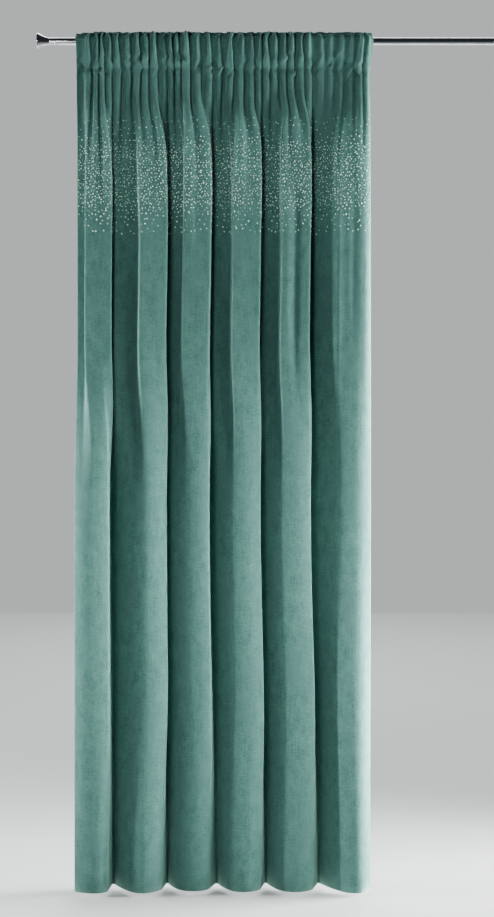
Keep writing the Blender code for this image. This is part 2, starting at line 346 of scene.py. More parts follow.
@functools.lru_cache(maxsize=None)
def gathers_of(index):
    """The gathers of one fold, uneven in width, in depth and in how far down they reach."""
    chance = random.Random(40 + index)
    fold = FOLDS[index]
    even = GATHER_EVEN / len(fold.widths)
    found, start = [], 0.0
    for width in fold.widths:
        share = width / sum(fold.widths) * (1 - GATHER_EVEN) + even
        kept = min(LEAST_GATHERED, width / 1000 / (share * fold.cloth))
        angle = math.sqrt(8 * (1 - math.sqrt(kept))) * chance.uniform(*GATHER_DEPTHS)
        skew = math.exp(chance.uniform(*GATHER_SKEW))
        if index == 0 and not found:
            skew = FIRST_GATHER_LATE
        if index == len(FOLDS) - 1 and len(found) == len(fold.widths) - 1:
            skew = LAST_GATHER_EARLY
        found.append(Gather(
            start, start + share, angle, skew,
            chance.uniform(*GATHER_RUFFLE), chance.uniform(*GATHERS_FADE),
        ))
        start += share
    return found


def slopes(index, along, height, pinch=GATHER_PINCH):
    """The cloth's slope along one fold at a height: gathers above, the fold's own form below."""
    marks, *forms = np.array(bends_of(index)).T
    stepped, rounded, opened = (np.interp(along, marks, form) for form in forms)
    to_round = ease(height, STEPS_END, ROUND_FROM)
    to_open = ease(height, ROUND_TO, HEM)
    upper = stepped * (1 - to_round) + rounded * to_round
    form = np.radians(upper * (1 - to_open) + opened * to_open)
    for crease in CREASES:
        if crease.fold == index:
            reach = (crease.top - crease.bottom) * CREASE_FADE
            shown = ease(height, crease.top, crease.top - reach)
            shown *= 1 - ease(height, crease.bottom + reach, crease.bottom)
            off = (along - crease.along) * FOLDS[index].cloth / (crease.width / 1000)
            form -= math.radians(crease.angle) * shown * off * np.exp(0.5 - off**2 / 2)
    gathered = np.zeros_like(along)
    for gather in gathers_of(index):
        inside = (along >= gather.start) & (along <= gather.end)
        share = (along[inside] - gather.start) / (gather.end - gather.start)
        share = share**gather.skew
        wave = np.sin(2 * math.pi * share) + pinch * np.sin(4 * math.pi * share)
        wave += gather.ruffle * np.sin(6 * math.pi * share)
        gathered[inside] = gather.angle * wave * (1 - ease(height, GATHERS_FULL, gather.fades_at))
    to_folds = ease(height, FOLDS_BEGIN, GATHERS_END)
    steepest = STEEPEST * (1 - EASED * math.sin(math.pi * to_folds))
    return np.clip(gathered + form * to_folds, -steepest, steepest)


def fitted(slope, cloth, across, forward):
    """Points along a stretch of cloth whose ends lie the given distances apart.

    The slope is scaled and turned a little until both distances are met, so the
    cloth keeps its length.
    """
    scale, turn = 1.0, 0.0
    step = cloth / (len(slope) - 1)
    middle = (slope[1:] + slope[:-1]) / 2
    for _ in range(FITTING_STEPS):
        cosine, sine = np.cos(scale * middle + turn), np.sin(scale * middle + turn)
        error = np.array([cosine.sum() * step - across, sine.sum() * step - forward])
        change = step * np.array([
            [-(middle * sine).sum(), -sine.sum()],
            [(middle * cosine).sum(), cosine.sum()],
        ])
        correction = np.linalg.solve(change, error)
        scale -= correction[0]
        turn -= correction[1]
    x = np.concatenate([[0.0], np.cumsum(np.cos(scale * middle + turn)) * step])
    y = np.concatenate([[0.0], -np.cumsum(np.sin(scale * middle + turn)) * step])
    return x, y


def gather_depth():
    """From the valley to the crest of an average gather at the heading."""
    pitch = CLOTH_WIDTH / sum(len(fold.widths) for fold in FOLDS)
    half = np.linspace(0, 0.5, SAMPLES_A_FOLD)
    slope = AVERAGE_GATHER_SLOPE * np.sin(2 * math.pi * half)
    return float(np.sin(slope).mean() / 2 * pitch)


def fold_end(index, height):
    """X and Y of a fold's right-hand end, a valley or the cloth's edge, at a height."""
    fold = FOLDS[index]
    to_folds = ease(height, FOLDS_BEGIN, GATHERS_END)
    to_middle = ease(height, GATHERS_END, ROUND_FROM)
    to_hem = ease(height, ROUND_FROM, HEM)
    x = fold.x_top * (1 - to_middle) + fold.x_middle * to_middle
    x = x * (1 - to_hem) + fold.x_hem * to_hem
    return x, gather_depth() / 2 * (1 - to_folds) + fold.depth * to_folds


def section(height, columns, pinch=GATHER_PINCH):
    """X and Y of the sheet's middle at the cloth's columns, at a height of the body."""
    to_folds = ease(height, FOLDS_BEGIN, GATHERS_END)
    to_round = ease(height, STEPS_END, ROUND_FROM)
    edge = LEFT_EDGE_TURNED_BACK * (1 - to_round) + LEFT_EDGE_FORWARD * to_round
    start_x = LEFT_EDGE
    start_y = gather_depth() / 2 * (1 - to_folds) + edge * to_folds
    along = np.linspace(0, 1, SAMPLES_A_FOLD + 1)
    flat = 0.0
    line_u, line_x, line_y = [], [], []
    for index, fold in enumerate(FOLDS):
        end_x, end_y = fold_end(index, height)
        slope = slopes(index, along, height, pinch)
        x, y = fitted(slope, fold.cloth, end_x - start_x, start_y - end_y)
        line_u.append(flat + along * fold.cloth)
        line_x.append(start_x + x)
        line_y.append(start_y + y)
        flat += fold.cloth
        start_x, start_y = end_x, end_y
    places = np.concatenate(line_u)
    x_at, y_at = np.concatenate(line_x), np.concatenate(line_y)
    return np.interp(columns, places, x_at), np.interp(columns, places, y_at)


def offset_line(x, y, distance):
    """A line beside another, mitred at its corners. A positive distance is towards the viewer."""
    along = np.stack([np.diff(x), np.diff(y)], axis=1)
    along /= np.linalg.norm(along, axis=1)[:, None]
    normal = np.stack([along[:, 1], -along[:, 0]], axis=1)
    before = np.vstack([normal[:1], normal])
    after = np.vstack([normal, normal[-1:]])
    mitre = (before + after) / (1 + (before * after).sum(axis=1))[:, None]
    return x + mitre[:, 0] * distance, y + mitre[:, 1] * distance


def drift(places, waves, seed):
    """A smooth uneven line between about -1 and 1. Waves are lengths in metres."""
    chance = random.Random(seed)
    total = np.zeros_like(places)
    for length in waves:
        total += np.sin(2 * math.pi * (places / length + chance.random()))
    return total / len(waves)


def through(stations, count):
    """Rows on a smooth curve through a few stations, each an array of points."""
    points = np.array(stations)
    tangent = np.gradient(points, axis=0)
    rows = []
    for place in np.linspace(0, len(stations) - 1, count):
        low = min(int(place), len(stations) - 2)
        t = place - low
        rows.append(
            (2 * t**3 - 3 * t**2 + 1) * points[low]
            + (t**3 - 2 * t**2 + t) * tangent[low]
            + (3 * t**2 - 2 * t**3) * points[low + 1]
            + (t**3 - t**2) * tangent[low + 1]
        )
    return rows


def heading_rows(columns):
    """The heading's rows: first those behind the rod, then from the frill down the front."""
    x, y = section(STITCH_LINE, columns)
    pocket_x, pocket_y = section(STITCH_LINE, columns, POCKET_PINCH)
    stand = np.maximum(gather_depth() / 2 - pocket_y, 0)
    at_left = np.clip(1 - columns / END_REACH, 0, 1)
    at_right = np.clip(1 - (columns[-1] - columns) / END_REACH, 0, 1)
    frill_top = FRILL_TOP - FRILL_DROOP * (at_left**2 + at_right**2)
    frill_top = frill_top + FRILL_UNEVEN * drift(columns, (0.031, 0.047, 0.11), 3)
    below_top = frill_top - CLOTH_THICKNESS * FRILL_TURN
    touch = ROD_DIAMETER / 2 + PIECE_GAP + CLOTH_THICKNESS / 2
    clear = touch + POCKET_CLEARANCE
    shoulder = touch + SHOULDER_CLEARANCE
    lean = {
        "seam": LEAN * drift(columns, (0.083, 0.21), 11),
        "shoulder": LEAN * drift(columns, (0.071, 0.17), 12),
        "front": LEAN * drift(columns, (0.092, 0.23), 13),
    }

    def placed(across, back, height):
        return np.stack([across, back, height + np.zeros_like(across)], axis=1)

    def sewn(side, height, leaning=0.0, wave=1.0, forward=0.0):
        across, back = offset_line(x + leaning, y * wave - forward, -side * LAYER_SPACING / 2)
        return placed(across, back, height)

    def over_rod(side):
        leaning = pocket_x + lean["seam"]
        wave = pocket_y * SEAM_WAVE - SEAM_FORWARD
        across, back = offset_line(leaning, wave, -side * SEAM_SPACING / 2)
        reach = touch + PIECE_GAP + stand * SEAM_STAND
        height = np.sqrt(np.maximum(reach**2 - back**2, (reach * SEAM_LEAST)**2))
        return placed(across, back, height)

    def around(side, angle, radius, share, leaning):
        reach = radius + stand * share * (POCKET_DEEPER if side < 0 else 1.0)
        across = pocket_x + leaning + POCKET_FLARE * math.sin(angle) ** 3 * at_right
        return placed(across, side * reach * math.sin(angle), reach * math.cos(angle))

    def below_rod(side, share):
        upper = around(side, math.pi / 2, clear, 1.0, lean["front"])
        return upper * (1 - share) + sewn(side, STITCH_LINE) * share

    def half(side, rows):
        return through([
            sewn(side, STITCH_LINE),
            below_rod(side, CLOSING_BELOW_ROD),
            around(side, math.pi / 2, clear, 1.0, lean["front"]),
            around(side, SHOULDER_ANGLE, shoulder, SHOULDER_STAND, lean["shoulder"]),
            over_rod(side),
            sewn(side, below_top, lean["seam"], FRILL_WAVE, FRILL_FORWARD),
        ], rows)

    top = placed(x + lean["seam"], y * FRILL_WAVE - FRILL_FORWARD, frill_top)
    return half(+1, ROWS_BEHIND), [top] + half(-1, ROWS_IN_FRONT)[::-1]


class Pucker(NamedTuple):
    """A short slanting pinch by the stitch line, in metres, with its depth in millimetres."""

    across: float
    height: float
    slant: float
    length: float
    width: float
    depth: float


def puckers():
    """The puckers along the stitch line, evenly shared out across the cloth."""
    chance = random.Random(5)
    found = []
    for number in range(PUCKERS):
        found.append(Pucker(
            across=(number + chance.uniform(0.1, 0.9)) / PUCKERS * CLOTH_WIDTH,
            height=STITCH_LINE + chance.uniform(*PUCKER_HEIGHTS),
            slant=math.radians(chance.uniform(*PUCKER_SLANTS)) * chance.choice((1, 1, 1, -1)),
            length=chance.uniform(*PUCKER_LENGTHS),
            width=chance.uniform(*PUCKER_WIDTHS),
            depth=chance.uniform(*PUCKER_DEPTHS),
        ))
    return found


def near_full(columns):
    """1 over the cloth, falling to 0 at its left and right edge."""
    return np.clip(np.minimum(columns, columns[-1] - columns) / LOOSE_EDGE, 0, 1)


def grid_normals(points):
    """Unit normals of a grid of points, on the viewer's side."""
    across = np.gradient(points, axis=1)
    down = np.gradient(points, axis=0)
    normal = np.cross(down, across)
    length = np.linalg.norm(normal, axis=2, keepdims=True)
    return normal / np.maximum(length, 1e-9)


class Hung(NamedTuple):
    """The hung cloth as a grid: rows from behind the rod, over the frill and down to the hem."""

    columns: np.ndarray
    along: np.ndarray
    points: np.ndarray
    first_body_row: int


@functools.lru_cache(maxsize=None)
def hung_cloth():
    """The whole sheet as it hangs, with its folds, gathers and puckers."""
    columns = np.linspace(0, CLOTH_WIDTH, CLOTH_COLUMNS + 1)
    behind, front = heading_rows(columns)
    body, height = [], STITCH_LINE
    for bottom, count in BODY_ROWS:
        for level in np.linspace(height, bottom, count + 1)[1:]:
            x, y = section(level, columns)
            body.append(np.stack([x, y, np.full_like(x, level)], axis=1))
        height = bottom
    points = np.array(behind + front + body)
    first_body_row = len(behind) + len(front)
    normal = grid_normals(points)
    flat, level = np.meshgrid(columns, points[:, :, 2].mean(axis=1))
    # The thread holds the gathers back and aside
    line = STITCH_LINE + HELD_UNEVEN * drift(columns, (0.043, 0.071), 19)
    held = np.exp(-((level - line) / HELD_REACH) ** 2)
    middle = points[:, :, 1].mean(axis=1, keepdims=True)
    points[:, :, 1] = middle + (points[:, :, 1] - middle) * (1 - HELD_BACK * held)
    points[:, :, 0] += KINK * drift(columns, (0.061, 0.093), 17) * held * near_full(columns)
    push = np.zeros_like(flat)
    for pucker in puckers():
        sideways, up = flat - pucker.across, level - pucker.height
        along = sideways * math.sin(pucker.slant) + up * math.cos(pucker.slant)
        over = sideways * math.cos(pucker.slant) - up * math.sin(pucker.slant)
        spread = (over / pucker.width) ** 2 + (along / pucker.length) ** 2
        push += pucker.depth / 1000 * np.exp(-spread)
    below_rod = ease(points[:, :, 2], PUCKERS_FROM, PUCKERS_FROM - PUCKERS_FADE)
    below_rod[:len(behind)] *= -1
    points = points + normal * (push * below_rod)[:, :, None]
    steps = np.linalg.norm(np.diff(points, axis=0), axis=2).mean(axis=1)
    along = np.concatenate([[0.0], np.cumsum(steps)])
    return Hung(columns, along, points, first_body_row)


def on_cloth(flat, height):
    """A place on the front of the body, with its normal and its direction along the rod."""
    cloth = hung_cloth()
    points = cloth.points[cloth.first_body_row - 1:]
    levels = points[:, :, 2].mean(axis=1)
    row = np.interp(-height, -levels, np.arange(len(levels)))
    column = flat / CLOTH_WIDTH * CLOTH_COLUMNS
    i, j = min(int(row), len(levels) - 2), min(int(column), CLOTH_COLUMNS - 1)
    s, t = row - i, column - j
    a, b, c, d = points[i, j], points[i, j + 1], points[i + 1, j], points[i + 1, j + 1]
    place = (a * (1 - t) + b * t) * (1 - s) + (c * (1 - t) + d * t) * s
    across = (b - a) * (1 - s) + (d - c) * s
    down = (c - a) * (1 - t) + (d - b) * t
    normal = np.cross(down, across)
    normal /= np.linalg.norm(normal)
    across /= np.linalg.norm(across)
    return place + normal * CLOTH_THICKNESS / 2, normal, across


class Band(NamedTuple):
    """A band of the scatter: its heights in metres, its spacing and stones in millimetres."""

    top: float
    bottom: float
    spacing: float
    diameter: float


BANDS = (
    Band(-0.240, -0.300, 20.0, 3.8),
    Band(-0.300, -0.325, 13.0, 3.9),
    Band(-0.325, -0.520, 9.5, 4.0),
    Band(-0.520, -0.556, 13.0, 4.1),
    Band(-0.556, -0.608, 18.5, 4.4),
)

# The scatter: rows of stones set apart by a share of their spacing, moved aside and up
# by a chance share of it, with some left out
STONE_ROWS = 0.87
STONE_JITTER = (0.32, 0.34)
STONES_KEPT = 0.94
STONE_SIZES = (0.85, 1.12)
STONES_FROM_EDGE = 0.004

# One stone: its rings as (rise, width) shares of its diameter, its tilt and how deep it sits
STONE_SIDES = 8
STONE_RINGS = ((0.0, 1.0), (0.10, 1.0), (0.46, 0.56))
STONE_TILT = 0.16
STONE_SUNK = 0.06

# One stitch: the share of its length that shows, and its arch and depth in threads
STITCH_SHOWN = 0.82
STITCH_ARCH = 0.9
STITCH_SUNK = 0.5
STITCH_RINGS = 5


def scattered(density, seed):
    """Places of the stones as (across the flat cloth, height, diameter)."""
    chance = random.Random(seed)
    aside, up = STONE_JITTER
    last = CLOTH_WIDTH - STONES_FROM_EDGE
    found = []
    for band in BANDS:
        spacing = band.spacing / 1000 / math.sqrt(density)
        rows = max(1, round((band.top - band.bottom) / (spacing * STONE_ROWS)))
        for row in range(rows):
            height = band.top + (row + 0.5) / rows * (band.bottom - band.top)
            flat = spacing * (0.25 + 0.5 * (row % 2))
            while flat < last:
                across = flat + chance.uniform(-aside, aside) * spacing
                level = height + chance.uniform(-up, up) * spacing
                if STONES_FROM_EDGE < across < last and chance.random() < STONES_KEPT:
                    diameter = band.diameter / 1000 * chance.uniform(*STONE_SIZES)
                    found.append((across, level, diameter))
                flat += spacing
    return found


# Mesh helpers


def show(name, mesh, *materials):
    """A mesh linked to the scene as a piece of the object."""
    for material in materials:
        mesh.materials.append(material)
    piece = bpy.data.objects.new(name, mesh)
    bpy.context.scene.collection.objects.link(piece)
    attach(piece, BODY)
    return piece


def mesh_of(name, shape):
    """Mesh data made from a bmesh, which is freed."""
    data = bpy.data.meshes.new(name)
    shape.to_mesh(data)
    shape.free()
    return data


def sheet_mesh(name, cloth):
    """The cloth's grid as a mesh, with the flat cloth as its UV map, in metres."""
    rows, count = cloth.points.shape[:2]
    number = np.arange(rows * count).reshape(rows, count)
    faces = np.stack(
        [number[:-1, :-1], number[1:, :-1], number[1:, 1:], number[:-1, 1:]], axis=-1
    ).reshape(-1, 4)
    mesh = bpy.data.meshes.new(name)
    mesh.from_pydata(cloth.points.reshape(-1, 3).tolist(), [], faces.tolist())
    flat = np.stack(np.meshgrid(cloth.columns, cloth.along[-1] - cloth.along), axis=-1)
    layer = mesh.uv_layers.new(name="flat cloth")
    layer.data.foreach_set("uv", flat.reshape(-1, 2)[faces.reshape(-1)].reshape(-1))
    mesh.shade_smooth()
    return mesh


def bridge(mesh, before, after):
    """Faces between two rings of points, or between a ring and a single point."""
    count = max(len(before), len(after))
    for number in range(count):
        other = (number + 1) % count
        corners = []
        for ring, index in ((before, number), (before, other), (after, other), (after, number)):
            corner = ring[index % len(ring)]
            if corner not in corners:
                corners.append(corner)
        mesh.faces.new(corners)


def add_cut_stone(mesh, place, normal, across, diameter, turn):
    """A flat-backed stone with a table and eight crown facets."""
    side = np.cross(normal, across)
    facet = 2 * math.pi / STONE_SIDES
    placed = []
    for rise, share in STONE_RINGS:
        ring = []
        for number in range(STONE_SIDES):
            angle = turn + number * facet + (facet / 2 if share < 1 else 0)
            out = (across * math.cos(angle) + side * math.sin(angle)) * share * diameter / 2
            ring.append(mesh.verts.new(place + out + normal * rise * diameter))
        placed.append(ring)
    low, girdle, table = placed
    for number in range(STONE_SIDES):
        after = (number + 1) % STONE_SIDES
        mesh.faces.new((low[number], low[after], girdle[after], girdle[number]))
        mesh.faces.new((girdle[number], girdle[after], table[number]))
        mesh.faces.new((girdle[after], table[after], table[number]))
    mesh.faces.new(table)
    mesh.faces.new(low[::-1])


def add_stitch(mesh, start, end, normal, thread):
    """One stitch, a short thread that arches over the cloth and sinks in at both ends."""
    along = end - start
    side = np.cross(normal, along / np.linalg.norm(along))
    rings = []
    for share in np.linspace(0, 1, STITCH_RINGS):
        rise = STITCH_ARCH * math.sin(math.pi * share) - STITCH_SUNK
        middle = start + along * share + normal * thread * rise
        rings.append([
            mesh.verts.new(
                middle + (side * math.cos(turn) + normal * math.sin(turn)) * thread / 2
            )
            for turn in (0.0, math.pi * 0.5, math.pi, math.pi * 1.5)
        ])
    for before, after in zip(rings, rings[1:]):
        bridge(mesh, before, after)


def turned_mesh(name, outline, place, outwards):
    """A piece turned about the rod's axis, from an outline of (radius, distance) pairs."""
    mesh = bmesh.new()
    rings = []
    for radius, out in outline:
        x = place + outwards * out
        if radius < 1e-6:
            rings.append([mesh.verts.new((x, 0, 0))])
            continue
        turns = np.arange(ROUND_SIDES) * 2 * math.pi / ROUND_SIDES
        rings.append([
            mesh.verts.new((x, radius * math.cos(turn), radius * math.sin(turn)))
            for turn in turns
        ])
    for before, after in zip(rings, rings[1:]):
        bridge(mesh, before, after)
    bmesh.ops.recalc_face_normals(mesh, faces=mesh.faces)
    data = mesh_of(name, mesh)
    data.shade_smooth()
    data.set_sharp_from_angle(angle=SHARP_FROM)
    return data


def rounded(radius, out, high, wide, start, end, steps):
    """Points of an arc round a point of an outline, between two angles in degrees."""
    turns = np.radians(np.linspace(start, end, steps))
    return [(radius + high * math.sin(turn), out + wide * math.cos(turn)) for turn in turns]


def collar_outline():
    """A sleeve with three round beads, from its outer end to the rod."""
    groove = COLLAR_DIAMETER / 2 - COLLAR_BEAD
    outline = [(0.0, COLLAR_LENGTH), (groove, COLLAR_LENGTH)]
    for share in COLLAR_BEADS:
        middle = share * COLLAR_LENGTH
        outline += rounded(groove, middle, COLLAR_BEAD, COLLAR_BEAD_WIDTH, 0, 180, 9)
    return outline + [(groove, 0.0), (0.0, 0.0)]


def finial_outline():
    """A trumpet with a dished end, from the dish over its rim to its neck."""
    neck, rim = FINIAL_NECK_DIAMETER / 2, FINIAL_RIM_DIAMETER / 2
    edge = FINIAL_RIM_ROUND
    dish = [
        (share * (rim - 2 * edge), FINIAL_LENGTH - FINIAL_DISH * (1 - share**2))
        for share in np.linspace(0, FINIAL_DISH_TO, 8)
    ]
    lip = rounded(rim - edge, FINIAL_LENGTH - edge, edge, edge, -20, 90, 8)
    flare_top = FINIAL_LENGTH - 3 * edge
    flare = [
        (neck + (rim - neck) * left**FINIAL_FLARE, flare_top * left)
        for left in np.linspace(1, 0, 22)
    ]
    return dish + lip + flare + [(0.0, 0.0)]


# Finishes


def linear(code):
    """The linear values of an sRGB colour given as #rrggbb."""
    values = [int(code[start:start + 2], 16) / 255 for start in (1, 3, 5)]
    return tuple(v / 12.92 if v <= 0.04045 else ((v + 0.055) / 1.055) ** 2.4 for v in values)


def add(tree, kind, inputs=None, **settings):
    """Adds a node, sets its settings, and sets or links its inputs."""
    made = tree.nodes.new(kind)
    for name, value in settings.items():
        setattr(made, name, value)
    for name, value in (inputs or {}).items():
        if isinstance(value, bpy.types.NodeSocket):
            tree.links.new(value, made.inputs[name])
        else:
            made.inputs[name].default_value = value
    return made


def finish(name, **values):
    """A new material, its node tree and its shader, with the uniform values set on the shader."""
    material = bpy.data.materials.new(name)
    material.use_nodes = True
    shader = material.node_tree.nodes["Principled BSDF"]
    for key, value in values.items():
        shader.inputs[key.replace("_", " ")].default_value = value
    return material, material.node_tree, shader


def per_metre(millimetres):
    """The texture scale at which one cell of a pattern has this size."""
    return 1000 / millimetres


class Pattern(NamedTuple):
    """A pattern in the pile: its size across and up, in millimetres, and its character.

    The share is how much of the pile's lie comes from it.
    """

    wide: float
    high: float
    detail: float
    roughness: float
    share: float


# Clouds of pile that lie differently, streaks of the brushing, strokes of handling, flecks
# of the tufts, and patches that were stroked upwards. The tufts are 0.5 mm, too fine to
# show, and are drawn as 5 mm flecks
PILE = {
    "clouds": Pattern(30, 45, 4.0, 0.62, 0.30),
    "streaks": Pattern(5, 60, 3.0, 0.60, 0.18),
    "strokes": Pattern(16, 5, 3.0, 0.65, 0.26),
    "flecks": Pattern(5, 5, 3.0, 0.75, 0.26),
    "patches": Pattern(70, 200, 4.0, 0.60, 0.0),
}


def woven_velvet(cloth):
    """Polyester velvet, woven with a short dense pile that was brushed down.

    The pile is dark where it is seen end on and pale where light grazes it: the shader's
    sheen gives part of that, and a painted sheen, mixed into the base colour where the
    cloth turns away from the view, gives the rest. It lies in soft clouds and faint
    upright streaks.
    """
    material, tree, shader = finish(
        "polyester velvet", Sheen_Weight=cloth.sheen, Sheen_Roughness=0.30,
        Sheen_Tint=(*cloth.sheen_colour, 1), IOR=1.5, Specular_IOR_Level=0.18,
    )
    flat = add(tree, "ShaderNodeUVMap", uv_map="flat cloth").outputs["UV"]
    drawn, lie = {}, 0.0
    for name, pattern in PILE.items():
        sized = add(tree, "ShaderNodeMapping", {
            "Vector": flat, "Scale": (per_metre(pattern.wide), per_metre(pattern.high), 1),
        })
        drawn[name] = add(tree, "ShaderNodeTexNoise", {
            "Vector": sized.outputs["Vector"], "Scale": 1.0,
            "Detail": pattern.detail, "Roughness": pattern.roughness,
        }, noise_dimensions="2D").outputs["Fac"]
        if pattern.share:
            lie = add(tree, "ShaderNodeMath", {
                0: drawn[name], 1: pattern.share, 2: lie,
            }, operation="MULTIPLY_ADD").outputs[0]
    share = add(tree, "ShaderNodeMapRange", {"Value": lie, "From Min": 0.36, "From Max": 0.64})
    pile = add(tree, "ShaderNodeMix", {
        0: share.outputs["Result"], 6: (*cloth.dark_colour, 1), 7: (*cloth.light_colour, 1),
    }, data_type="RGBA")
    # Stroked pile looks greyer
    greyness = add(tree, "ShaderNodeMapRange", {
        "Value": drawn["patches"], "From Min": 0.42, "From Max": 0.66, "To Max": 0.55,
    })
    toned = add(tree, "ShaderNodeMix", {
        0: greyness.outputs["Result"], 6: pile.outputs[2], 7: (*cloth.grey_colour, 1),
    }, data_type="RGBA")
    # Painted sheen: the base colour is painted paler, towards the sheen colour, where the cloth
    # turns away from the view
    grazed = add(tree, "ShaderNodeLayerWeight", {"Blend": 0.5})
    steep = add(tree, "ShaderNodeMath", {0: grazed.outputs["Facing"], 1: 4.0}, operation="POWER")
    painted_sheen_amount = add(tree, "ShaderNodeMath", {0: steep.outputs[0], 1: cloth.rim}, operation="MULTIPLY")
    colour = add(tree, "ShaderNodeMix", {
        0: painted_sheen_amount.outputs[0], 6: toned.outputs[2], 7: (*cloth.sheen_colour, 1),
    }, data_type="RGBA")
    tree.links.new(colour.outputs[2], shader.inputs["Base Color"])
    rough = add(tree, "ShaderNodeMapRange", {
        "Value": lie, "From Min": 0.3, "From Max": 0.7, "To Min": 0.95, "To Max": 0.78,
    })
    tree.links.new(rough.outputs["Result"], shader.inputs["Roughness"])
    ruffled = add(tree, "ShaderNodeBump", {
        "Height": drawn["clouds"], "Strength": 0.35, "Distance": 0.004,
    })
    tufted = add(tree, "ShaderNodeBump", {
        "Height": drawn["flecks"], "Strength": 0.30, "Distance": 0.0012,
        "Normal": ruffled.outputs["Normal"],
    })
    tree.links.new(tufted.outputs["Normal"], shader.inputs["Normal"])
    return material


def backed_glass(stones):
    """Cut glass stones with a mirror backing: each facet flashes or goes dark with the light."""
    material, tree, shader = finish(
        "mirror backed glass", Metallic=0.35, IOR=1.5, Coat_Weight=0.6, Coat_Roughness=0.05,
    )
    # Painted glints: each stone's base colour is picked at random between a dim and a pale colour,
    # and the few pale stones stand in for facets that catch the light
    each = add(tree, "ShaderNodeNewGeometry").outputs["Random Per Island"]
    painted_glints = add(tree, "ShaderNodeMath", {0: each, 1: 1.7}, operation="POWER").outputs[0]
    colour = add(tree, "ShaderNodeMix", {
        0: painted_glints, 6: (*stones.painted_dim_colour, 1), 7: (*stones.colour, 1),
    }, data_type="RGBA")
    tree.links.new(colour.outputs[2], shader.inputs["Base Color"])
    rough = add(tree, "ShaderNodeMapRange", {"Value": each, "To Min": 0.22, "To Max": 0.42})
    tree.links.new(rough.outputs["Result"], shader.inputs["Roughness"])
    # Grinding marks on the facets, 0.4 mm
    place = add(tree, "ShaderNodeTexCoord").outputs["Object"]
    ground = add(tree, "ShaderNodeTexNoise", {
        "Vector": place, "Scale": per_metre(0.4), "Detail": 1.0,
    })
    bump = add(tree, "ShaderNodeBump", {
        "Height": ground.outputs["Fac"], "Strength": 0.1, "Distance": 0.0001,
    })
    tree.links.new(bump.outputs["Normal"], shader.inputs["Normal"])
    return material


def polished_chrome(rod):
    """Chrome plate on a steel tube, buffed to a mirror of bright floor and dark ceiling."""
    material, tree, shader = finish("polished chrome plate", Metallic=1.0)
    place = add(tree, "ShaderNodeTexCoord").outputs["Object"]
    # Buffing lines run round the tube, 0.3 mm apart and about 80 mm long
    around = add(tree, "ShaderNodeMapping", {"Vector": place, "Scale": (per_metre(0.3), 12, 12)})
    buffed = add(tree, "ShaderNodeTexNoise", {
        "Vector": around.outputs["Vector"], "Scale": 1.0, "Detail": 2.0, "Roughness": 0.6,
    })
    # Faint clouding of the plate, 30 mm
    cloud = add(tree, "ShaderNodeTexNoise", {
        "Vector": place, "Scale": per_metre(30), "Detail": 3.0,
    })
    colour = add(tree, "ShaderNodeMix", {
        0: cloud.outputs["Fac"], 6: (*rod.chrome_shade, 1), 7: (*rod.chrome_colour, 1),
    }, data_type="RGBA")
    tree.links.new(colour.outputs[2], shader.inputs["Base Color"])
    rough = add(tree, "ShaderNodeMapRange", {
        "Value": buffed.outputs["Fac"], "From Min": 0.3, "From Max": 0.7,
        "To Min": rod.polish * 0.8, "To Max": rod.polish * 1.3,
    })
    tree.links.new(rough.outputs["Result"], shader.inputs["Roughness"])
    bump = add(tree, "ShaderNodeBump", {
        "Height": buffed.outputs["Fac"], "Strength": 0.04, "Distance": 0.0001,
    })
    tree.links.new(bump.outputs["Normal"], shader.inputs["Normal"])
    return material


def sewing_thread(cloth):
    """Spun polyester thread, twisted from two plies and dyed to the velvet."""
    material, tree, shader = finish(
        "spun polyester thread", Sheen_Weight=0.2, IOR=1.5, Roughness=0.7,
    )
    place = add(tree, "ShaderNodeTexCoord").outputs["Object"]
    # The twist of the plies, 0.6 mm
    twist = add(tree, "ShaderNodeTexNoise", {
        "Vector": place, "Scale": per_metre(0.6), "Detail": 2.0,
    })
    colour = add(tree, "ShaderNodeMix", {
        0: twist.outputs["Fac"], 6: (*cloth.dark_colour, 1), 7: (*cloth.light_colour, 1),
    }, data_type="RGBA")
    tree.links.new(colour.outputs[2], shader.inputs["Base Color"])
    bump = add(tree, "ShaderNodeBump", {
        "Height": twist.outputs["Fac"], "Strength": 0.4, "Distance": 0.0002,
    })
    tree.links.new(bump.outputs["Normal"], shader.inputs["Normal"])
    return material


def sealed_floor(stage):
    """Painted boards under a satin seal: pale and even, with a soft reflection."""
    material, tree, shader = finish("satin sealed floor", Roughness=0.22, IOR=1.5)
    place = add(tree, "ShaderNodeTexCoord").outputs["Object"]
    # Faint clouding of the paint, about 800 mm
    uneven = add(tree, "ShaderNodeTexNoise", {"Vector": place, "Scale": 1.2, "Detail": 2.0})
    low = tuple(value * 0.94 for value in stage.floor_colour)
    colour = add(tree, "ShaderNodeMix", {
        0: uneven.outputs["Fac"], 6: (*low, 1), 7: (*stage.floor_colour, 1),
    }, data_type="RGBA")
    tree.links.new(colour.outputs[2], shader.inputs["Base Color"])
    return material


# Settings

COLOUR = {"min": 0, "max": 1, "size": 3, "subtype": "COLOR"}


